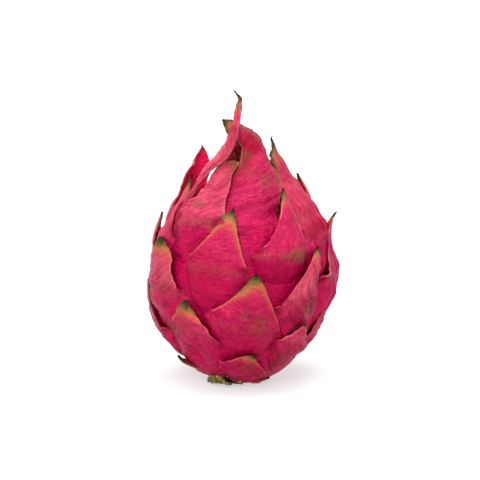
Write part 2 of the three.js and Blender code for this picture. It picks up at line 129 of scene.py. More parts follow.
# How far the peel lies inside the egg, square to it.
def skinGap(up):
    r, z, outR, _ = guide(up)
    return (r - skinRadius(z)) * outR


# Which random pattern each thing takes. A bract adds its own number.
seeds = {"dents": 3, "smallDents": 4, "drift": 20, "strands": 21, "fibres": 22, "torn": 23, "remnant": 30,
         "wrinkle": 50, "crust": 61, "fine": 90, "lump": 120, "teeth": 160}


# Value noise from -1 to 1: a fixed pseudo-random number at every corner of a unit lattice, eased between
# them. The large primes only scramble the corner's whole numbers.
hashPrimes = {"corner": (73856093, 19349663, 83492791), "seed": 2654435761, "stir": 1274126177}


def noise(p, seed):
    cell = np.floor(p).astype(np.int64)
    k = p - cell
    k = k * k * (3 - 2 * k)
    total = np.zeros(p.shape[:-1])
    primeX, primeY, primeZ = hashPrimes["corner"]
    for corner in range(8):
        step = np.array([corner & 1, corner >> 1 & 1, corner >> 2 & 1])
        c = cell + step
        h = (c[..., 0] * primeX) ^ (c[..., 1] * primeY) ^ (c[..., 2] * primeZ) ^ (seed * hashPrimes["seed"])
        h = (h ^ (h >> 13)) * hashPrimes["stir"]
        value = ((h ^ (h >> 16)) & 0xFFFF) / 32767.5 - 1
        total += value * np.prod(np.where(step, k, 1 - k), axis=-1)
    return total


# Shallow dents and bumps that the whole body shares, so bracts and peel stay together. They move a point
# away from the axis, and fade towards the foot.
def dented(p):
    large = dents["deep"] * noise(p / dents["size"], seeds["dents"])
    amount = large + dents["smallDeep"] * noise(p / dents["small"], seeds["smallDents"])
    amount = amount * smooth(p[..., 2] / dents["fullFrom"])
    away = p * np.array([1, 1, dents["upShare"]]) - np.array([0, 0, dents["upShare"] * egg["widest"]])
    return p + away / np.linalg.norm(away, axis=-1, keepdims=True) * amount[..., None]


# The bracts, by their place on the fruit.
# left, right: az, up, spread, hollow at the two axils. tip: az, up, out. root: up where its foot dies out.
# belly, sag: how proud the spine stands at the axil, and how much lower the margins lie. ridge: 1 where it
# is creased along the line between its axils, 0 where it is round there. fold: 1 where a free blade is
# creased along its spine. free: for blades clear of the egg, lines of x, y, z from axil to tip along the
# left margin, the spine and the right margin.
# green: mm of the tip that stay green or dry. chevron: how much further those colours run down the margins.
# dry: the share of them that is brown. pale: how much paler the blade is, partly faded and partly painted
# sheen. crinkle, slant: depth of the wrinkles in mm, and their direction in degrees. ragged: depth of the
# teeth
# along the margins. pleat: height of two ridges along it. flap: a fold of the left margin, by its mm from the
# tip, size, lift and the notch cut under it.
plainBract = {"belly": 2.4, "sag": 1.2, "fold": 0, "green": 10, "chevron": 0.5, "dry": 0.35, "pale": 0.25,
              "crinkle": 0.5, "slant": 0, "ragged": 0.22, "pleat": 0}
bracts = dict(
    foot_right=dict(
        left=(16, 15, .8, .1), right=(60, 15.5, .8, .1), tip=(46, 20.5, .9), root=12, belly=.5, sag=.2,
        green=5, dry=.9, pale=.3, crinkle=.7),
    foot_front=dict(
        left=(-24, 38, .7, .1), right=(29, 26, 1, -.1), tip=(9.5, 46.5, 3.6), root=14, belly=2.6,
        green=9, dry=.3, pale=0, crinkle=1.4, slant=-20),
    foot_left=dict(
        left=(-98, 27, .8, 0), right=(-48, 23, .8, 0), tip=(-72, 37, 2.2), root=16, belly=.6, sag=.2,
        green=11, dry=1, pale=.7, crinkle=.6),
    low_left=dict(
        left=(-56, 58, .8, .1), right=(-9.5, 48.5, .85, 0), tip=(-34, 73, 3.4), root=32,
        green=14, dry=.3, pale=.3, crinkle=1.05, slant=-35, ragged=.4),
    low_right=dict(
        left=(24, 52, .7, 0), right=(60, 42, .6, .1), tip=(45, 60, 3.2), root=26,
        green=3.5, dry=.6, pale=.5, crinkle=1.2, slant=-30),
    outline_left=dict(
        left=(-116, 56, .8, .1), right=(-70, 50, .9, .1), tip=(-94, 75, 3.6), root=26, belly=3.2,
        green=9, dry=.5, pale=.5, crinkle=.55),
    outline_right=dict(
        left=(54, 45, .8, .1), right=(100, 49, .9, .1), tip=(83, 65, 1.4), root=32, belly=1.2,
        green=8, dry=.7, pale=.5, crinkle=.55),
    low_back_left=dict(
        left=(-156, 42, .8, .1), right=(-106, 38, .8, .1), tip=(-130, 58, 3.5), root=24, green=9),
    low_back=dict(
        left=(162, 46, .8, .1), right=(212, 44, .8, .1), tip=(188, 62, 3.5), root=28),
    low_back_right=dict(
        left=(102, 40, .8, .1), right=(156, 42, .8, .1), tip=(128, 56, 3.5), root=24, green=8),
    middle_front=dict(
        left=(-26, 67, .6, 0), right=(28, 54, 1, 0), tip=(9.7, 87.2, 5), root=38, belly=3.6, ridge=.5,
        green=16, chevron=.62, dry=.2, pale=.05, crinkle=.3),
    middle_right=dict(
        left=(20, 66, 1, 0), right=(66, 78, .5, .1), tip=(56.5, 96, 4.6), root=44, belly=3, sag=2.4,
        green=11, dry=.4, pale=1, crinkle=1.3, slant=-45),
    middle_left=dict(
        left=(-100, 78, .8, .2), right=(-35, 73, .6, .3), tip=(-64, 100, 4.4), root=46, belly=3.4, sag=3.2,
        ridge=.1,
        green=15, pale=.85, crinkle=1.1, slant=25),
    middle_back_left=dict(
        left=(-154, 72, .8, .1), right=(-104, 76, .8, .1), tip=(-128, 96, 4), root=54, green=12),
    middle_back=dict(
        left=(170, 68, .8, .1), right=(218, 66, .8, .1), tip=(195, 88, 4), root=46, green=14),
    middle_back_right=dict(
        left=(128, 66, .8, .1), right=(176, 66, .8, .1), tip=(152, 86, 4), root=44, green=12),
    right_behind=dict(
        left=(94, 68, .8, .1), right=(142, 72, .8, .1), tip=(120, 92, 4), root=50, green=11),
    curled_right=dict(
        left=(60, 78, .7, .2), right=(116, 76, .8, .1), tip=(92, 108, 9), root=46, belly=5,
        dry=.7, pale=.3, crinkle=.7, slant=90,
        free=([(44, -16, 58.4), (43.8, -14, 69), (44.5, -11, 78.5), (48, -3, 85)],
              [(48.3, 0, 60), (46.3, -1, 68), (45.6, -2, 78), (48.1, -3, 85)],
              [(44, 18, 60), (44, 12, 70), (45.5, 5, 79), (48.2, -3, 85)])),
    upper_front=dict(
        left=(-40, 91, .8, .05), right=(8, 86, .5, 0), tip=(-4.8, 117, 4.8), root=62, belly=3.8, ridge=.7,
        green=16, chevron=.7, dry=.2, pale=.1, crinkle=.32, slant=15, flap=(6, 1.5, 1.4, 3)),
    upper_right=dict(
        left=(5, 95.5, .55, 0), right=(47.5, 91, .95, 0), tip=(39.5, 126.5, 4.4), root=80, belly=6.4,
        ridge=1,
        green=14, dry=.75, pale=.15, crinkle=.4, slant=90),
    upper_left=dict(
        left=(-122, 84, .8, .2), right=(-74, 82, .8, .2), tip=(-93, 109.5, 3.6), root=60,
        green=9, dry=.6, pale=.4, slant=80),
    upper_back_left=dict(
        left=(-176, 98, .8, .1), right=(-124, 98, .8, .1), tip=(-150, 120, 4), root=76, green=12),
    upper_back=dict(
        left=(146, 94, .8, .1), right=(194, 94, .8, .1), tip=(170, 117, 4), root=72, green=13),
    upper_back_right=dict(
        left=(108, 94, .8, .1), right=(156, 92, .8, .1), tip=(132, 116, 4), root=70, green=12),
    ragged_right=dict(
        left=(38, 98, .6, .1), right=(98, 100, .8, .2), tip=(78, 157, 5), root=76, belly=4.4, ridge=.2,
        green=18, chevron=.8, dry=.9, pale=.45, crinkle=1.4, slant=90, ragged=.8,
        free=([(24.5, -25.5, 88), (18.5, -14, 103.2), (16, -9, 108.4), (14.5, -6, 112.2),
               (15, -3.5, 117.2), (15.4, -2, 122.7)],
              [(34, -12, 90.5), (27.5, -9, 99.5), (22.5, -7, 107), (18, -4.5, 115.5), (15.5, -2, 122.8)],
              [(31, 8, 95.5), (25.5, 5, 104), (20.5, 2, 113), (15.6, -2, 122.7)])),
    narrow_left=dict(
        left=(-86, 98, .8, .2), right=(-58, 100, .8, .2), tip=(-67, 136, 3.5), root=84,
        green=18, dry=1, pale=.9, crinkle=.4, slant=90,
        free=([(-33, -14, 86.8), (-29, -13, 95.8), (-26.3, -12, 100.6), (-24, -11, 105.3)],
              [(-33, -18, 88.5), (-28.8, -17, 95.5), (-26, -15, 100.3), (-24, -11, 105.5)],
              [(-30.5, -19, 90.4), (-27, -18.5, 94.1), (-24.5, -16, 99.3), (-23.8, -11, 105.3)])),
    broad_crown=dict(
        left=(-16, 104, .3, .1), right=(46, 112, .8, .3), tip=(-50, 168, 3), root=80, belly=1.6,
        chevron=1, dry=1.1, pale=.12, crinkle=.6, ragged=.3,
        free=([(-8.5, -28.5, 96.3), (-5.5, -24.5, 104), (-.8, -20.5, 112), (.4, -17.5, 118.5),
               (-5.6, -16, 124.5), (-7.6, -15.5, 129), (-8.8, -15, 132.8)],
              [(7, -29.5, 101), (8, -22.5, 111), (6.5, -18, 118), (2.5, -17, 124.5), (-3, -17, 129.3),
               (-8.6, -15, 133)],
              [(17.6, -15.5, 105.5), (13.8, -12, 113.5), (11.3, -10, 120), (9.3, -9.5, 124.5),
               (4.4, -11, 128.4), (.3, -12.5, 131), (-4, -14, 132.7), (-8.3, -15, 133.2)])),
    bent_crown=dict(
        left=(-60, 110, .8, 0), right=(-12, 110, .4, 0), tip=(-10, 145, -2), root=88, belly=4, ridge=1,
        green=3, pale=.85, crinkle=.8, slant=15,
        free=([(-33, -19, 86.5), (-25.5, -21, 93.4), (-19.5, -22, 98.6), (-15.5, -20.5, 103.4),
               (-12.6, -18, 108.6), (-8, -15.5, 112.6)],
              [(-21, -29, 91), (-14, -28, 98), (-9.5, -25, 105), (-6, -20.5, 110.5), (-4.5, -15, 112.6)],
              [(-8, -35, 91), (-6, -31.5, 99.4), (-4, -26.5, 107.2), (-1, -21.5, 112.6), (-3, -15, 112.6)])),
    tall_strap=dict(
        left=(-85, 106, .5, 0), right=(-58, 106, .5, 0), tip=(-60, 175, 4), root=94, belly=1.4, fold=.6,
        green=19, dry=1, pale=1, crinkle=.3, slant=90, ragged=.5, pleat=.5,
        free=([(-23, -18, 101), (-18.5, -18.5, 109.2), (-12, -18.5, 116), (-6.6, -19, 124),
               (-3.4, -17, 133.6), (-2, -13.5, 140), (-.8, -11, 142.4), (-2.8, -9, 146.2)],
              [(-20, -20, 103), (-15, -20.5, 109), (-8, -20.5, 114.3), (-3.8, -20.5, 122),
               (-1.2, -18.5, 132), (-.4, -14, 140), (0, -11, 142.6), (-2.6, -9, 146.3)],
              [(-17.4, -20, 104.4), (-12, -20.5, 109.6), (-6, -20, 113.8), (-1.8, -19.5, 120.5),
               (.6, -17.5, 131.5), (1, -13.5, 139.9), (.7, -11, 142.8), (-2.3, -9, 146)])),
    left_behind=dict(
        left=(-140, 108, .7, .1), right=(-82, 110, .7, .2), tip=(-112, 152, 9), root=90, belly=1,
        green=4, dry=.6, pale=.1, crinkle=.3,
        free=([(-17.5, 22, 96), (-15.5, 22, 103), (-15.5, 21.5, 107.5), (-17, 21, 112), (-18.8, 20, 115.3)],
              [(-26, 15, 96), (-23.5, 17, 105), (-21.3, 19, 111), (-18.9, 20, 115.5)],
              [(-30.5, 0, 95.9), (-26, 5, 104.5), (-22.3, 13, 110), (-19, 20, 115.3)])),
    small_right=dict(
        left=(92, 108, .7, .1), right=(132, 108, .7, .1), tip=(106, 129.5, 4.5), root=92,
        green=12, dry=.5, pale=1, crinkle=.35, slant=90),
    crown_back=dict(
        left=(146, 110, .7, .1), right=(194, 110, .7, .1), tip=(172, 156, 3.5), root=90,
        green=12,
        free=([(12, 15.5, 103), (9.5, 11.5, 112), (5.5, 8.5, 119), (1, 7, 124.5)],
              [(1.5, 19.5, 104), (1, 15, 112), (.6, 10.5, 119), (.8, 7, 124.7)],
              [(-10.5, 15.5, 103), (-8.5, 11.5, 111), (-5.5, 8.5, 117.5), (.5, 7, 124.5)])),
    crown_back_left=dict(
        left=(172, 111, .7, .1), right=(205, 112, .7, .1), tip=(195, 142, 2), root=94, belly=1),
    crown_back_right=dict(
        left=(116, 112, .7, .1), right=(152, 113, .7, .1), tip=(146, 141, 2.5), root=94))
# Inside the crown, round the navel: az, up of the tip, and belly, well inside the egg.
innerBracts = ((20, 146, -8.5), (78, 146, -8.5), (135, 146, -8.5), (190, 146, -8.5), (228, 144, -9.5),
               (262, 138, -12.5))
for az, tipUp, belly in innerBracts:
    bracts[f"inner_{az}"] = dict(left=(az - 24, 127, .7, .1), right=(az + 24, 127, .7, .1),
                                 tip=(az - 4, tipUp, belly + 1.5), root=114, belly=belly, sag=0, green=9)

# The shape of every blade, in mm, and in shares of the way from axil to tip.
blade = {"sunk": 0.5, "spine": 2.6, "spineTip": 1.0, "marginShare": 0.34, "thinnest": 0.7, "rimRound": 0.26,
         "tipWidth": 0.7, "leastRadius": 4, "tipOutBy": 0.7, "hollowPeak": 9.48, "footShare": 0.15,
         "roundFoot": 1.3, "ridge": 0.5, "flatness": 4, "emergesBy": 0.14, "clearFrom": 0.02,
         "clearOver": 0.25, "lowest": 0.12}
# Its grid: mm between points, stretched under the axils, the least and most of its columns and rows, and
# the coarse grid that measures it first.
bladeGrid = {"cell": 0.62, "footStretch": 1.4, "columns": (12, 76), "footRows": (6, 40),
             "freeRows": (12, 110), "probeRows": 21, "probeColumns": 5}
# How it leaves its smooth face: teeth torn along its margins, margins that wave in and out, and leathery
# wrinkles with sharp creases over soft lumps. Depths and sizes (across, along) are in mm. Each fades where
# the blade is narrower than `full`.
teeth = {"every": 1.5, "sidesApart": 20, "power": 9, "full": 6}
waving = {"deep": 0.7, "size": (40, 7), "power": 3, "full": 14, "least": 0.1}
leather = {"size": (13, 3.6), "fineSize": (7, 1.9), "fine": 0.55, "lumpSize": (7, 7), "lump": 0.8, "full": 16,
           "least": 0.2, "drift": 2.2, "driftSize": 9}
freeWithin = 0.15   # share of the way to the tip over which teeth, waves and pleats grow
pleatFull = 6       # mm of width
bractsApart = 7.3   # step through the noise from one bract to the next
# The drying colours of the tip: their reach down the middle, and the width from which the chevron is full.
tipZone = {"middle": 1.05, "full": 14, "least": 0.2}
ridgeRub = {"width": 0.07, "strong": 0.5}   # creased ridges are rubbed: share of the blade, and how strong


# A smooth line through given points, at the given shares of its length: cubic pieces, whose slopes come
# from the neighbours.
def lineThrough(points, share):
    p = np.array(points, float)
    at = np.concatenate([[0], np.cumsum(np.linalg.norm(np.diff(p, axis=0), axis=1))])
    at /= at[-1]
    slope = np.gradient(p, at, axis=0)
    i = np.clip(np.searchsorted(at, share, side="right") - 1, 0, len(at) - 2)
    h = (at[i + 1] - at[i])[..., None]
    s = (share - at[i])[..., None] / h
    return ((2 * s**3 - 3 * s**2 + 1) * p[i] + (s**3 - 2 * s**2 + s) * h * slope[i]
            + (3 * s**2 - 2 * s**3) * p[i + 1] + (s**3 - s**2) * h * slope[i + 1])


# How far a margin has moved from its axil to the tip: by a power of the way, less a hollow near the tip.
# hollowPeak makes the deepest place of t cubed times 1 - t one.
def marginPath(t, spread, hollow):
    return t ** spread - hollow * blade["hollowPeak"] * t ** 3 * (1 - t)


# One bract's outer face: u runs -1..1 across it, v from -1 at its foot past 0 at the axils to 1 at its tip.
# Under the axils its outline is a half ellipse sunk in the peel; over them two margins run to the tip.
def bractFace(b, u, v):
    belly, sag, ridge = b["belly"], b["sag"], b.get("ridge", blade["ridge"])
    tipAz, tipUp, tipOut = b["tip"]
    tipHalf = math.degrees(blade["tipWidth"] / 2 / max(blade["leastRadius"], float(guide(tipUp)[0])))
    middleAz = (b["left"][0] + b["right"][0]) / 2
    s, t, edge = np.clip(1 + v, 0, 1), np.clip(v, 0, 1), u ** blade["flatness"]

    def side(axil, half):
        az, up, spread, hollow = axil
        opening = blade["footShare"] + (1 - blade["footShare"]) * np.sin(s * np.pi / 2)
        footAz = mix(middleAz, az, opening)
        footUp = mix(b["root"], up, 1 - np.cos(s * np.pi / 2))
        freeAz = az + (tipAz + half - az) * marginPath(t, spread, hollow)
        return np.where(s < 1, footAz, freeAz), np.where(s < 1, footUp, mix(up, tipUp, t))

    (leftAz, leftUp), (rightAz, rightUp) = side(b["left"], -tipHalf), side(b["right"], tipHalf)
    k = (u + 1) / 2
    az, up = mix(leftAz, rightAz, k), mix(leftUp, rightUp, k)
    proud = mix(belly * smooth(s), tipOut, smooth(t / blade["tipOutBy"]))
    drop = sag * u ** 2 * smooth(s) * (1 - t / 2)
    rise = mix(smooth(s), s ** blade["roundFoot"], ridge)
    emerged = np.where(s < 1, rise * (1 - edge), 1 - edge * (1 - smooth(t / blade["emergesBy"])))
    p = place(az, up, mix(-skinGap(up) - blade["sunk"], proud - drop, emerged))
    if "free" in b:
        starts = (place(*np.array([b["left"][0], b["left"][1], belly - sag], float)),
                  place(*np.array([middleAz, (b["left"][1] + b["right"][1]) / 2, belly], float)),
                  place(*np.array([b["right"][0], b["right"][1], belly - sag], float)))
        left, spine, right = (lineThrough([start] + list(line), t) for start, line in zip(starts, b["free"]))
        w = u[..., None]
        rounded = left * (w * w - w) / 2 + spine * (1 - w * w) + right * (w * w + w) / 2
        creasedFace = np.where(w < 0, mix(spine, left, -w), mix(spine, right, w))
        clear = smooth((t - blade["clearFrom"]) / blade["clearOver"])
        p = mix(p, mix(rounded, creasedFace, b["fold"]), clear[..., None])
    return p


# Vectors brought to length one.
def unit(v):
    return v / (np.linalg.norm(v, axis=-1, keepdims=True) + 1e-12)


# The length of a line of points.
def pathLength(points):
    return np.linalg.norm(np.diff(points, axis=0), axis=-1).sum()


# u and v over a blade, in as many columns and rows as its size asks for.
def bladeCoordinates(b):
    rows, columns = bladeGrid["probeRows"], bladeGrid["probeColumns"]
    u, v = np.meshgrid(np.linspace(-1, 1, columns), np.linspace(-1, 1, rows))
    probe = bractFace(b, u, v)
    width = np.linalg.norm(np.diff(probe, axis=1), axis=-1).sum(axis=1).max()
    spine, axil, cell = probe[:, columns // 2], rows // 2, bladeGrid["cell"]
    columns = int(np.clip(width / cell, *bladeGrid["columns"])) // 2 * 2 + 1
    footRows = pathLength(spine[:axil + 1]) / cell / bladeGrid["footStretch"]
    footRows = int(np.clip(footRows, *bladeGrid["footRows"]))
    freeRows = int(np.clip(pathLength(spine[axil:]) / cell, *bladeGrid["freeRows"]))
    v = np.concatenate([np.linspace(-1, 0, footRows, endpoint=False), np.linspace(0, 1, freeRows)])
    return np.meshgrid(np.linspace(-1, 1, columns), v)


# Noise folded at zero and brought to -0.5 to 1: rounded bumps with sharp creases between them, of a size in
# mm along and across the grain.
def creased(grain, seed, size):
    return 1.5 * np.abs(noise(grain / np.array([*size, 1]), seed)) - 0.5


# 1 where a blade is at least `full` mm wide, and down to `least` where it is narrower.
def wideEnough(rowWidth, full, least=0):
    return np.clip(rowWidth / full, least, 1)


# Places on a blade in mm, across it and along it from the tip, and the same turned by its slant, with a
# little drift, so that wrinkles along the grain aren't straight.
def bladeGrain(b, seed, u, fromTip, rowWidth):
    where = xyz(u * rowWidth / 2, fromTip, seed * bractsApart)
    slant = math.radians(b["slant"])
    drift = leather["drift"] * noise(where / leather["driftSize"], seed + seeds["drift"])
    grain = xyz(where[..., 0] * math.cos(slant) - fromTip * math.sin(slant),
                where[..., 0] * math.sin(slant) + fromTip * math.cos(slant) + drift, where[..., 2])
    return where, grain


# The blade as a closed skin: outer face, a rounded rim, and an inner face behind it by its thickness.
def makeBract(name, b, seed):
    u, v = bladeCoordinates(b)
    t = np.clip(v, 0, 1)
    p = bractFace(b, u, v)
    across = np.gradient(p, axis=1)
    outward = unit(np.cross(across, np.gradient(p, axis=0)))
    sideways = unit(across)
    steps = np.linalg.norm(np.diff(p, axis=0), axis=-1)
    fromTip = np.concatenate([steps[::-1].cumsum(axis=0)[::-1], np.zeros((1, u.shape[1]))], axis=0)
    rowWidth = np.linalg.norm(np.diff(p, axis=1), axis=-1).sum(axis=1)[:, None] + 0 * u
    where, grain = bladeGrain(b, seed, u, fromTip, rowWidth)

    free = smooth(t / freeWithin)
    margin = xyz(teeth["sidesApart"] * np.sign(u), fromTip / teeth["every"], seed)
    torn = (b["ragged"] * noise(margin, seed + seeds["teeth"]) * u ** teeth["power"] * free
            * wideEnough(rowWidth, teeth["full"]))
    p = p + sideways * torn[..., None]
    wave = (noise(where / np.array([*waving["size"], 1]), seed) * np.abs(u) ** waving["power"]
            * waving["deep"] * wideEnough(rowWidth, waving["full"], waving["least"]))
    wrinkles = (creased(grain, seed + seeds["wrinkle"], leather["size"])
                + leather["fine"] * creased(grain, seed + seeds["fine"], leather["fineSize"]))
    lumpy = noise(where / np.array([*leather["lumpSize"], 1]), seed + seeds["lump"])
    pleats = -b["pleat"] * np.cos(2 * np.pi * u) * free * wideEnough(rowWidth, pleatFull)
    crinkle = b["crinkle"] * wideEnough(rowWidth, leather["full"], leather["least"])
    p = p + outward * (free * wave + pleats + crinkle * (wrinkles + leather["lump"] * lumpy))[..., None]
    if "flap" in b:
        flapAt, size, raised, cut = b["flap"]
        leftSide = np.clip(-u, 0, 1) ** 2
        lifted = np.exp(-((fromTip - flapAt) / size) ** 2) * leftSide
        notched = np.exp(-((fromTip - flapAt - 2 * size) / size) ** 2) * leftSide
        p = p + outward * (raised * lifted)[..., None] + sideways * (cut * notched)[..., None]

    thick = mix(blade["spine"], blade["spineTip"], t) * mix(1, blade["marginShare"], u * u)
    inner = p - outward * np.maximum(blade["thinnest"], thick)[..., None]
    middle = (p + inner) / 2
    rimRight = middle[:, -1] + sideways[:, -1] * blade["rimRound"]
    rimLeft = middle[:, 0] - sideways[:, 0] * blade["rimRound"]
    ring = np.concatenate([p, rimRight[:, None], inner[:, ::-1], rimLeft[:, None]], axis=1)
    ring = dented(ring)
    ring[..., 2] = np.maximum(ring[..., 2], blade["lowest"])

    def around(face, rim):
        return np.concatenate([face, rim[:, None], face[:, ::-1], rim[:, None]], axis=1)

    zero = np.zeros(len(u))
    chevron = b["chevron"] * u ** 2 * wideEnough(rowWidth, tipZone["full"], tipZone["least"])
    tipShare = fromTip * (tipZone["middle"] - chevron) / b["green"]
    onRidge = np.exp(-(around(v, v[:, 0]) / ridgeRub["width"]) ** 2)
    rubbed = ridgeRub["strong"] * b.get("ridge", 0) * onRidge
    marks = {"tipShare": around(tipShare, tipShare[:, 0]),
             "rimGap": around((1 - np.abs(u)) * rowWidth / 2, zero),
             "inside": np.concatenate([0 * u, zero[:, None], 1 + 0 * u, zero[:, None]], axis=1),
             "dry": np.full(ring.shape[:2], b["dry"]),
             "pale": np.full(ring.shape[:2], b["pale"]),
             "freeShare": around(v, v[:, 0]),
             "scuff": np.clip(spotted(ring, scuffs) + rubbed, 0, 1),
             "flush": spotted(ring, shadeSpots),
             "grainAcross": around(grain[..., 0], grain[:, 0, 0]),
             "grainAlong": around(grain[..., 1], grain[:, 0, 1])}
    return ringMesh(f"bract_{name}", ring, marks)


# Rubbed and bruised places, and spots of painted shade, deeper crimson where the peel is turned from the
# light under overhangs, in the crown and low on the body: x, z and radius in mm seen from the front, and how
# strong.
# They end `spotsBehind` mm behind the middle.
scuffs = ((2.5, 42.5, 2.6, 0.8), (10, 37.5, 4.5, 0.7), (26.5, 70.5, 3.2, 0.9), (30.5, 68, 2.5, 0.9),
          (12.5, 104, 3.5, 0.7), (3.5, 115.5, 2, 0.8), (-20, 93, 2.6, 0.6), (32, 42, 4.5, 0.7),
          (21, 16.5, 6, 0.4), (-32, 30, 4, 0.6), (4, 15, 3.5, 0.5), (-36, 52, 3, 0.5), (30, 86, 3, 0.4),
          (6, 108, 2.5, 0.4), (2.5, 128.5, 2.2, 0.9), (9, 124, 2, 0.7), (-2, 112, 4, 1))
shadeSpots = ((7, 121, 5.5, 0.8), (3, 120, 5, 0.8), (-5, 129, 3, 0.7), (2.5, 113, 3, 0.7), (-1, 112, 5, 1),
           (-3, 104, 4, 0.5), (14, 92, 6, 0.4), (38, 80, 4.5, 0.8), (34.5, 88, 2.5, 0.6), (33, 95, 2, 0.5),
           (20, 56, 7, 0.3), (0, 30, 9, 0.2), (-16, 60, 12, 0.5), (8, 15, 8, 0.5))
spotsBehind = 16


# Soft round spots, each its strength times e to the minus square of the distance over its size.
def spotted(ring, spots):
    total = np.zeros(ring.shape[:2])
    for x, z, size, strength in spots:
        apart = np.hypot(ring[..., 0] - x, ring[..., 2] - z) / size
        total = total + strength * np.exp(-apart ** 2) * (ring[..., 1] < spotsBehind)
    return np.clip(total, 0, 1)


# A stack of closed rings made a mesh, its two ends closed by joining each ring's first half to its second.
def ringMesh(name, ring, marks):
    rows, count = ring.shape[:2]
    index = np.arange(rows * count).reshape(rows, count)
    nextColumn = np.roll(index, -1, axis=1)
    sides = np.stack([index[:-1], nextColumn[:-1], nextColumn[1:], index[1:]], axis=-1).reshape(-1, 4)
    half = count // 2
    i = np.arange(half - 1)
    foot = np.stack([i, count - 2 - i, count - 3 - i, i + 1], axis=-1)
    ends = np.concatenate([foot, foot[:, ::-1] + (rows - 1) * count])
    return meshObject(name, ring.reshape(-1, 3), np.concatenate([sides, ends]),
                      {key: value.reshape(-1) for key, value in marks.items()})


# A mesh of four-sided faces that carries its marks as numbers at the points. Where its volume, the sum of a
# times the cross product of its face's other corners, comes out negative, its faces are turned outwards.
def meshObject(name, points, faces, marks):
    mesh = bpy.data.meshes.new(name)
    a, b, c, d = (points[faces[:, corner]] for corner in range(4))
    volume = (a * (np.cross(b, c) + np.cross(c, d))).sum()
    if volume < 0:
        faces = faces[:, ::-1]
    mesh.from_pydata((points * mm).tolist(), [], faces.tolist())
    for key, values in marks.items():
        mesh.attributes.new(key, "FLOAT", "POINT").data.foreach_set("value", values.astype(np.float32))
    mesh.shade_smooth()
    mesh.update()
    return addObject(name, mesh)


# Rows of the body and of its navel, columns, radii of the flat foot, and a tip share beyond every tip.
body = {"rows": 120, "navelRows": 12, "columns": 240, "foot": (0.2, 4, 8), "navelCurve": 1.5, "noTip": 9}


# The closed body under the bracts: a lathe of skinRadius with a dimple for the navel, then lumps and dents.
def makeBody():
    z = skin["navelRim"] * (1 - np.cos(np.linspace(0, np.pi, body["rows"]))) / 2
    r = skinRadius(z)
    k = np.linspace(0, 1, body["navelRows"])[1:-1]
    r = np.concatenate([body["foot"], r, r[-1] * (1 - k ** body["navelCurve"])])
    z = np.concatenate([[0, 0, 0], z, mix(skin["navelRim"], skin["navelFloor"], smooth(k))])
    r[-1] = body["foot"][0]
    a = np.radians(np.linspace(-180, 180, body["columns"], endpoint=False))
    a, r = np.meshgrid(a, r)
    z = z[:, None] + 0 * a
    r = r * lump(np.degrees(a), z)
    ring = dented(xyz(r * np.sin(a), -r * np.cos(a), z))
    far, none = 0 * r + body["noTip"], 0 * r
    marks = {"tipShare": far, "rimGap": far, "inside": none, "dry": none, "pale": none,
             "freeShare": none - 1, "scuff": none, "flush": none, "grainAcross": r * a, "grainAlong": z}
    return ringMesh("peel_body", ring, marks)


# The dried stub of the stem. Its radius follows a few rings by height, with ribs round it, clefts of
# different depth between its strands, and a torn foot whose edge stands a little off the ground here and
# there. Strands and fibres wind up it by `twist` radians per mm.
stub = {"x": -6.5, "y": -15, "leanX": 0.8, "leanY": 1.6, "height": 9.5, "heights": (0, 1.6, 4, 9.5),
        "radii": (7.2, 8.8, 8.2, 6.4), "turns": (0, 0.3, 0.6, 0.9), "hollow": 1.5,
        "rows": 44, "columns": 180, "footShares": (0.03, 0.35, 0.7, 0.92), "topShares": (0.7, 0.35, 0.03)}
stubRibs = ((2, 0.7, 0.4), (5, 0.5, 1.9), (8, 0.6, 0.0))   # count, depth in mm, starting angle
clefts = {"count": 9, "deep": 1.9, "sharp": 2.2, "long": 9, "fine": 0.3, "fibres": 18, "fibreLong": 4,
          "twist": 0.2}
tornFoot = {"lift": 1.3, "frontLift": 1.3, "size": 3.1, "bias": 0.35, "rimFrom": 0.5, "rimOver": 0.4,
            "height": 3}


def makeStub():
    rows, height = stub["rows"], stub["height"]
    z = np.concatenate([[0, 0, 0, 0], np.linspace(0, height, rows), np.full(3, height)])
    inward = np.concatenate([stub["footShares"], np.ones(rows), stub["topShares"]])
    a = np.linspace(0, 2 * np.pi, stub["columns"], endpoint=False)
    a, z = np.meshgrid(a, z)
    inward = inward[:, None] + 0 * a
    turn = np.interp(z, stub["heights"], stub["turns"])
    r = np.interp(z, stub["heights"], stub["radii"])
    for count, deep, at in stubRibs:
        r = r + deep * np.cos(count * a + at + turn)
    along = a + clefts["twist"] * z
    roundSpot = xyz(np.cos(along), np.sin(along), 0)
    strand = noise(roundSpot * clefts["count"] / 2 + xyz(0, 0, z / clefts["long"]), seeds["strands"])
    fibre = noise(roundSpot * clefts["fibres"] + xyz(0, 0, z / clefts["fibreLong"]), seeds["fibres"])
    cleft = np.clip(-strand * clefts["sharp"], 0, 1)
    r = (r - clefts["deep"] * cleft + clefts["fine"] * fibre) * inward
    atRim = smooth((inward - tornFoot["rimFrom"]) / tornFoot["rimOver"])
    ragged = noise(roundSpot * tornFoot["size"], seeds["torn"]) + tornFoot["bias"]
    torn = tornFoot["lift"] * smooth(ragged) * atRim
    torn = torn + tornFoot["frontLift"] * np.clip(-np.sin(a), 0, 1) * atRim
    lift = torn * np.clip(1 - z / tornFoot["height"], 0, 1) + stub["hollow"] * (1 - inward) * (z < height / 2)
    k = z / height
    ring = xyz(stub["x"] + stub["leanX"] * k + r * np.cos(a),
               stub["y"] + stub["leanY"] * k + r * np.sin(a), np.maximum(z + lift, 0))
    return ringMesh("stem_stub_fibres", ring, {"cleft": cleft})


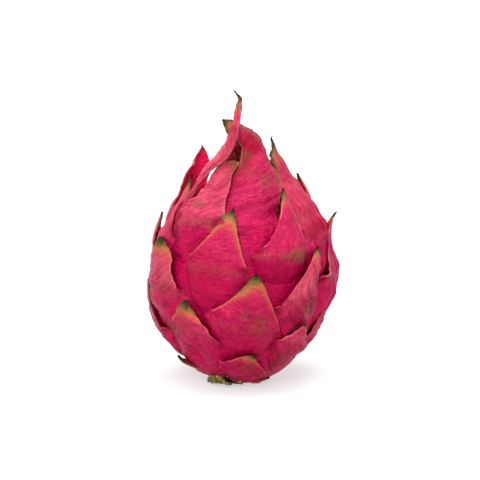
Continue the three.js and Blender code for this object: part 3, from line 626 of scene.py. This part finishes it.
# The dried remains of the flower on a crust in the navel: broad strands that lean out by turns, and finer
# hairs. Lengths and radii in mm, lean and turn in degrees.
remnant = {"floor": 93.4, "strands": 7, "length": 22, "shortest": 0.44, "foot": 1.5, "tip": 0.4, "flat": 0.45,
           "turn": 137.5, "firstAt": 90, "lean": (4.4, 7.7, 11), "stand": 1.3, "lift": 1.6, "rows": 40,
           "hairs": 24, "hairLength": 16, "hairRadius": 0.32, "hairTaper": 0.5, "hairFlat": 0.8,
           "hairLean": 1.3, "curl": 1.2, "curlTurn": 5, "lengthTurn": 2.4, "taper": 0.8}
strandSection = {"sides": 12, "uneven": 0.35, "size": 1.7, "round": 1.4, "aside": (0.3, 1, 0.2)}
crust = {"top": 3.3, "foot": 2.1, "height": 2.2, "lift": 0.9, "closed": 0.05, "uneven": 0.14,
         "columns": 90, "rows": 14, "size": (3, 2)}


# A tapering strand: closed rings of a flattened, uneven section carried along a path.
def strandRings(path, radius, flat, seed):
    along = unit(np.gradient(path, axis=0))
    side = unit(np.cross(along, strandSection["aside"]))
    over = np.cross(along, side)
    a = np.linspace(0, 2 * np.pi, strandSection["sides"], endpoint=False)[None, :, None]
    spot = np.concatenate([np.cos(a), np.sin(a), 0 * a], axis=-1) * strandSection["round"]
    uneven = 1 + strandSection["uneven"] * noise(path[:, None] / strandSection["size"] + spot, seed)
    r = radius[:, None, None] * uneven[..., None]
    return path[:, None] + r * (np.cos(a) * side[:, None] + flat * np.sin(a) * over[:, None])


def makeRemnant():
    t = np.linspace(0, 1, remnant["rows"])
    made = []
    for i in range(remnant["strands"] + remnant["hairs"]):
        hair = i >= remnant["strands"]
        away = math.radians(i * remnant["turn"] + remnant["firstAt"])
        lean = math.radians(remnant["lean"][i % len(remnant["lean"])] * (remnant["hairLean"] if hair else 1))
        share = mix(remnant["shortest"], 1, (1 + math.cos(i * remnant["lengthTurn"])) / 2)
        length = share * remnant["hairLength" if hair else "length"]
        out = xyz(math.cos(away), math.sin(away), 0)
        across = xyz(-math.sin(away), math.cos(away), 0)
        start = out * remnant["stand"] + xyz(0, 0, remnant["floor"] + remnant["lift"])
        curl = remnant["curl"] * np.sin(t * remnant["curlTurn"] + i)[:, None] * t[:, None]
        path = (start + length * t[:, None] * (out * math.sin(lean) + xyz(0, 0, math.cos(lean)))
                + curl * across)
        if hair:
            radius, flat = remnant["hairRadius"] * (1 - remnant["hairTaper"] * t), remnant["hairFlat"]
        else:
            radius, flat = mix(remnant["foot"], remnant["tip"], t ** remnant["taper"]), remnant["flat"]
        rings = strandRings(path, radius, flat, seeds["remnant"] + i)
        made.append(ringMesh(f"remnant_{i}", rings, {}))
    a, k = np.meshgrid(np.linspace(0, 2 * np.pi, crust["columns"], endpoint=False),
                       np.linspace(0, 1, crust["rows"]))
    wide = mix(crust["foot"], crust["top"], k) * np.where((k == 0) | (k == 1), crust["closed"], 1)
    roundSize, upSize = crust["size"]
    spot = xyz(np.cos(a) * roundSize, np.sin(a) * roundSize, k * upSize)
    wide = wide * (1 + crust["uneven"] * noise(spot, seeds["crust"]))
    height = remnant["floor"] + crust["lift"] + crust["height"] * k
    made.append(ringMesh("remnant_crust", xyz(wide * np.cos(a), wide * np.sin(a), height), {}))
    return joined("flower_remnant_dry", made)


# Several closed meshes put together as one piece.
def joined(name, parts):
    points, faces, start = [], [], 0
    for part in parts:
        mesh = part.data
        spots = np.zeros(len(mesh.vertices) * 3)
        mesh.vertices.foreach_get("co", spots)
        corners = np.zeros(len(mesh.polygons) * 4, int)
        mesh.polygons.foreach_get("vertices", corners)
        points.append(spots.reshape(-1, 3) / mm)
        faces.append(corners.reshape(-1, 4) + start)
        start += len(points[-1])
        bpy.data.objects.remove(part)
        bpy.data.meshes.remove(mesh)
    return meshObject(name, np.concatenate(points), np.concatenate(faces), {})


print("body and bracts")
pieces = [makeBody()]
for seed, (name, b) in enumerate(bracts.items()):
    pieces.append(makeBract(name, {**plainBract, **b}, seed))


# Colours are written as sRGB hex. To linear light: a straight line near black, and a power above it.
def linear(hexColour):
    channels = [int(hexColour[i:i + 2], 16) / 255 for i in (1, 3, 5)]
    return tuple(c / 12.92 if c <= 0.04045 else ((c + 0.055) / 1.055) ** 2.4 for c in channels) + (1,)


# Adds a node. Inputs are values or sockets, by the name or number of the input. Settings are the node's
# properties, or the colour stops of a ramp.
def addNode(material, kind, inputs=None, **settings):
    node = material.node_tree.nodes.new("ShaderNode" + kind)
    for key, value in settings.items():
        if key == "stops":
            stops = node.color_ramp.elements
            first, *others = value
            stops.remove(stops[-1])
            stops[0].position, stops[0].color = first[0], linear(first[1])
            for position, colour in others:
                stops.new(position).color = linear(colour)
        else:
            setattr(node, key, value)
    for key, value in (inputs or {}).items():
        if isinstance(value, bpy.types.NodeSocket):
            material.node_tree.links.new(value, node.inputs[key])
        else:
            node.inputs[key].default_value = value
    return node


# An empty material, and the place of a point in its piece.
def newMaterial(name):
    material = bpy.data.materials.new(name)
    material.use_nodes = True
    material.node_tree.nodes.clear()
    return material, addNode(material, "TexCoord").outputs["Object"]


# The end of a material: its relief, its surface and, in `more`, other inputs of that surface.
def surfaced(m, look, colour, roughness, height, more=None):
    bump = addNode(m, "Bump", {"Height": height, "Strength": look["bump"], "Distance": look["bumpDepth"]})
    shader = addNode(m, "BsdfPrincipled", {
        "Base Color": colour, "Roughness": roughness, "Specular IOR Level": look["specular"],
        "Normal": bump.outputs[0], **(more or {})}, subsurface_method="RANDOM_WALK")
    addNode(m, "OutputMaterial", {"Surface": shader.outputs[0]})
    return m


# Pitahaya peel: a thick waxy rind over crimson flesh, leathery and finely pebbled. The free blades are drier,
# so they are paler, partly with painted sheen, and more wrinkled. Tips go green, straw and brown, and margins
# are a thin lighter lip in places, partly painted highlight. Painted shade darkens its creases and some
# spots, and painted light brightens the inner faces.
peelLook = {"ior": 1.42, "specular": 0.14, "subsurface": 0.08, "subsurfaceDepth": 0.002,
            "subsurfaceColours": (1.0, 0.25, 0.3), "bump": 0.64, "bumpDepth": 0.003}
peelTones = {   # from the dark spots to the light ones, or from the tip on
    "root": ((0, "#8a053b"), (0.5, "#a50846"), (1, "#b8184f")),
    "blade": ((0, "#8a083d"), (0.5, "#9d1045"), (1, "#b0294f")),
    "greenTip": ((0, "#17100a"), (0.09, "#25240f"), (0.2, "#40401f"), (0.31, "#66562f"), (0.44, "#945f3a"),
                 (0.57, "#a85240"), (0.76, "#a43448")),
    "dryTip": ((0, "#130d09"), (0.12, "#2a1a11"), (0.3, "#4c3826"), (0.48, "#7c543c"), (0.66, "#9c4e44"),
               (0.85, "#a43a46"))}
# Scale per metre, detail and roughness of each noise: blotches of 12 mm, patches of 3 mm, pores of 0.7 mm.
# Wrinkles follow the grain of their bract instead, by a scale per mm across and along it.
peelNoise = {"blotch": (85, 4, 0.6), "patch": (330, 3, 0.6), "pores": (1500, 2, 0.5), "wrinkle": (1, 3, 0.55)}
wrinkleScale = (0.25, 0.9, 1)
pebble = {"scale": 780, "smoothness": 0.6}   # grains 1.3 mm apart
# Each signal is a weighted sum of patterns, marks and earlier signals. A range then brings it to 0 to 1.
peelSignals = {
    # tone: random blotches of the peel's own colour, and darker where the wrinkles and pebbles sink: painted
    # shade in the creases
    "tone": ({"blotch": 0.8, "patch": 0.5, "wrinkle": 0.6, "pebble": -0.4}, 0.55, 1.07),
    "isBlade": ({"freeShare": 1, "patch": 0.3}, 0.02, 0.4),
    "fadeAndSheen": ({"blotch": 0.8, "wrinkle": 1}, 0.6, 1.15),
    "bruising": ({"patch": 1, "wrinkle": 0.5, "pebble": -0.3}, 0.42, 0.66),
    "drying": ({"tipShare": 1, "blotch": 0.4, "patch": 0.35, "wrinkle": 0.35}, 0.53, 1.5),   # 0 at the tip
    "browning": ({"dry": 1, "patch": 0.8}, 0.55, 1.25),
    "tipShows": ({"drying": 1}, 1.0, 0.5),
    "atRim": ({"rimGap": 1}, 0.75, 0.1),
    "freeEdge": ({"freeShare": 1}, 0.0, 0.12),
    "moistEdge": ({"drying": 1}, 0.3, 0.8),
    "lipPatch": ({"blotch": 1}, 0.42, 0.62),
    "driedOut": ({"drying": 1, "pebble": 0.5}, 1.3, 0.2),
    "roughness": ({"driedOut": 0.3, "blotch": 0.8}, 0, 1),
    "relief": ({"wrinkle": 1.3, "pebble": -0.5, "pores": 0.3}, -1, 2)}
# Coats over the root tone: a tone or colour, its strength, and the signals and marks that limit it.
peelCoats = (("blade", 1, ("isBlade",)),
             ("#b25460", 1, ("pale", "isBlade", "fadeAndSheen")),   # faded, and painted sheen
             # the inner faces brighter: partly their own crimson, partly painted light on faces that sit in
             # shade
             ("#d81c58", 1, ("inside",)),
             # painted shade: spots of deeper crimson where the peel is turned from the light
             ("#800424", 0.85, ("flush",)),
             ("#5c4a26", 0.8, ("scuff", "bruising")),   # rubbed and corky
             ("tip", 1, ("tipShows",)),
             ("#b87068", 0.8, ("atRim", "freeEdge", "moistEdge", "lipPatch")))   # the lip: partly the margin's paler colour, partly painted highlight


def peelMaterial():
    m, spot = newMaterial("waxy_pitahaya_peel")
    signal = {name: addNode(m, "Attribute", attribute_name=name).outputs["Fac"]
              for name in ("grainAcross", "grainAlong", "freeShare", "tipShare", "rimGap", "inside", "dry",
                           "pale", "scuff", "flush")}
    grain = addNode(m, "CombineXYZ", {"X": signal["grainAcross"], "Y": signal["grainAlong"]}).outputs[0]
    grain = addNode(m, "Mapping", {"Vector": grain, "Scale": wrinkleScale}).outputs[0]
    for name, (scale, detail, roughness) in peelNoise.items():
        signal[name] = addNode(m, "TexNoise", {
            "Vector": grain if name == "wrinkle" else spot, "Scale": scale, "Detail": detail,
            "Roughness": roughness}).outputs["Fac"]
    signal["pebble"] = addNode(m, "TexVoronoi", {
        "Vector": spot, "Scale": pebble["scale"], "Smoothness": pebble["smoothness"]},
        feature="SMOOTH_F1").outputs["Distance"]
    for name, (shares, low, high) in peelSignals.items():
        total = 0
        for part, share in shares.items():
            total = addNode(m, "Math", {0: signal[part], 1: share, 2: total},
                            operation="MULTIPLY_ADD").outputs[0]
        signal[name] = addNode(m, "MapRange", {
            "Value": total, "From Min": low, "From Max": high}).outputs[0]

    tone = {}
    for key, stops in peelTones.items():
        along = signal["drying" if key.endswith("Tip") else "tone"]
        tone[key] = addNode(m, "ValToRGB", {"Fac": along}, stops=stops).outputs[0]
    tone["tip"] = addNode(m, "Mix", {"Factor": signal["browning"], 6: tone["greenTip"], 7: tone["dryTip"]},
                          data_type="RGBA").outputs[2]
    painted = tone["root"]
    for colour, strength, limits in peelCoats:
        for name in limits:
            strength = addNode(m, "Math", {0: signal[name], 1: strength}, operation="MULTIPLY").outputs[0]
        coat = tone[colour] if colour in tone else linear(colour)
        painted = addNode(m, "Mix", {"Factor": strength, 6: painted, 7: coat}, data_type="RGBA").outputs[2]
    return surfaced(m, peelLook, painted, signal["roughness"], signal["relief"], {
        "IOR": peelLook["ior"], "Subsurface Weight": peelLook["subsurface"],
        "Subsurface Radius": peelLook["subsurfaceColours"], "Subsurface Scale": peelLook["subsurfaceDepth"]})


# Dried stem: corky woody tissue, matt, with a green cast in patches. Its tones run from dark brown to straw
# along streaks that also raise its relief, so the low streaks are darker: partly painted shade. Its clefts
# are
# painted near black: painted shade. Scales are per metre.
stemLook = {"tones": ((0.3, "#1e120a"), (0.5, "#75633a"), (0.72, "#a8965e")), "cleft": "#1e120a",
            "green": "#6e7040", "greenFrom": 0.5, "greenFull": 0.65, "greenMost": 0.6, "roughness": 0.9,
            "specular": 0.2, "streaks": (900, 900, 160), "streakDetail": 4, "patches": 260, "patchDetail": 3,
            "bump": 0.7, "bumpDepth": 0.0006}


def stemMaterial():
    m, spot = newMaterial("dried_corky_stem")
    along = addNode(m, "Mapping", {"Vector": spot, "Scale": stemLook["streaks"]}).outputs[0]
    streak = addNode(m, "TexNoise", {
        "Vector": along, "Scale": 1, "Detail": stemLook["streakDetail"]}).outputs["Fac"]
    patch = addNode(m, "TexNoise", {
        "Vector": spot, "Scale": stemLook["patches"], "Detail": stemLook["patchDetail"]}).outputs["Fac"]
    wood = addNode(m, "ValToRGB", {"Fac": streak}, stops=stemLook["tones"]).outputs[0]
    greenish = addNode(m, "MapRange", {
        "Value": patch, "From Min": stemLook["greenFrom"], "From Max": stemLook["greenFull"],
        "To Max": stemLook["greenMost"]}).outputs[0]
    cleft = addNode(m, "Attribute", attribute_name="cleft").outputs["Fac"]
    # the clefts painted near black: painted shade in the recesses
    for share, colour in ((greenish, "green"), (cleft, "cleft")):
        wood = addNode(m, "Mix", {"Factor": share, 6: wood, 7: linear(stemLook[colour])},
                       data_type="RGBA").outputs[2]
    return surfaced(m, stemLook, wood, stemLook["roughness"], streak)


# Dried flower: brittle brown tissue, papery and matt, from nearly black to brown along fibre streaks that
# also raise its relief, so the low ones are darker: partly painted shade.
flowerLook = {"tones": ((0.32, "#23130d"), (0.55, "#4f2d1c"), (0.75, "#8a6242")), "roughness": 0.85,
              "specular": 0.2, "fibres": (1400, 1400, 200), "fibreDetail": 3, "bump": 0.7,
              "bumpDepth": 0.0004}


def flowerMaterial():
    m, spot = newMaterial("dried_papery_flower")
    along = addNode(m, "Mapping", {"Vector": spot, "Scale": flowerLook["fibres"]}).outputs[0]
    fibre = addNode(m, "TexNoise", {
        "Vector": along, "Scale": 1, "Detail": flowerLook["fibreDetail"]}).outputs["Fac"]
    colour = addNode(m, "ValToRGB", {"Fac": fibre}, stops=flowerLook["tones"]).outputs[0]
    return surfaced(m, flowerLook, colour, flowerLook["roughness"], fibre)


print("materials")
peel = peelMaterial()
for piece in pieces:
    piece.data.materials.append(peel)
    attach(piece, "root")
    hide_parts("fruit")
for piece, material, node, slot in ((makeStub(), stemMaterial(), "stem_stub", "dried_stem"),
                                    (makeRemnant(), flowerMaterial(), "flower_remnant", "dried_flower")):
    piece.data.materials.append(material)
    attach(piece, "root")
    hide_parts(node)


# The room, in metres: the sweep's shape and glow, and the strength of the pale light all round.
studio = {"floorTo": 0.75, "bend": 0.5, "wallTop": 1.1, "middle": 0.001, "bendSteps": 24, "sides": 96,
          "opal": "#989898", "opalRoughness": 0.9, "glowNear": 0.46, "glowFar": 0.65, "glowFrom": 0.3,
          "glowTo": 1.0, "room": 0.33}
lamps = {   # size in m, watts, place, aim
    "top_softbox": (1.2, 17, (-0.02, -0.1, 1.15), (0, 0, 0.05)),
    "key_softbox": (0.5, 6.2, (-0.2, -0.9, 0.6), (0, 0, 0.06))}
# Lens and sensor in mm, distance and height in m, elevation in degrees.
view = {"lens": 135, "sensor": 36, "distance": 0.9, "elevation": 10, "targetHeight": 0.0706}


# A white opal acrylic sweep lit from behind, a little more towards its rim, so that it is as pale there as
# near the fruit and the shadow on it stays light.
def sweepMaterial():
    m, spot = newMaterial("lit_opal_acrylic")
    far = addNode(m, "VectorMath", {0: spot}, operation="LENGTH").outputs["Value"]
    glow = addNode(m, "MapRange", {
        "Value": far, "From Min": studio["glowFrom"], "From Max": studio["glowTo"],
        "To Min": studio["glowNear"], "To Max": studio["glowFar"]},
        interpolation_type="SMOOTHSTEP").outputs[0]
    shader = addNode(m, "BsdfPrincipled", {
        "Base Color": linear(studio["opal"]), "Roughness": studio["opalRoughness"],
        "Emission Color": (1, 1, 1, 1), "Emission Strength": glow})
    addNode(m, "OutputMaterial", {"Surface": shader.outputs[0]})
    return m


# A round dish: level out to `floorTo`, up a quarter circle of radius `bend`, then an upright wall.
def makeSweep():
    floorTo, bend = studio["floorTo"], studio["bend"]
    turn = np.linspace(0, np.pi / 2, studio["bendSteps"])
    r = np.concatenate([[studio["middle"]], floorTo + bend * np.sin(turn), [floorTo + bend]])
    z = np.concatenate([[0], bend * (1 - np.cos(turn)), [studio["wallTop"]]])
    a, r = np.meshgrid(np.linspace(0, 2 * np.pi, studio["sides"], endpoint=False), r)
    points = xyz(r * np.cos(a), r * np.sin(a), z[:, None]).reshape(-1, 3)
    index = np.arange(len(points)).reshape(a.shape)
    after = np.roll(index, -1, axis=1)
    faces = np.stack([index[:-1], index[1:], after[1:], after[:-1]], axis=-1).reshape(-1, 4)
    mesh = bpy.data.meshes.new("studio_sweep")
    mesh.from_pydata(points.tolist(), [], faces.tolist() + [index[0].tolist()])
    mesh.shade_smooth()
    sweep = addObject("studio_sweep", mesh)
    mesh.materials.append(sweepMaterial())


# A lamp or camera at its spot, facing its aim.
def addAimed(name, data, spot, aim):
    made = addObject(name, data)
    made.location = spot
    made.rotation_euler = (Vector(aim) - Vector(spot)).to_track_quat("-Z", "Y").to_euler()
    return made


print("studio")
makeSweep()
for name, (size, power, spot, aim) in lamps.items():
    lamp = bpy.data.lights.new(name, "AREA")
    lamp.shape, lamp.size, lamp.energy = "DISK", size, power
    addAimed(name, lamp, spot, aim)
world = bpy.data.worlds.new("pale_room")
world.use_nodes = True
room = world.node_tree.nodes["Background"].inputs
room["Color"].default_value, room["Strength"].default_value = (1, 1, 1, 1), studio["room"]
scene.world = world
scene.view_settings.view_transform = "Standard"
scene.view_settings.look = "Medium High Contrast"

lift = math.radians(view["elevation"])
target = Vector((0, 0, view["targetHeight"]))
eye = target + view["distance"] * Vector((0, -math.cos(lift), math.sin(lift)))
camera = addAimed("camera", bpy.data.cameras.new("camera"), eye, target)
camera.data.lens, camera.data.sensor_width = view["lens"], view["sensor"]
scene.camera = camera
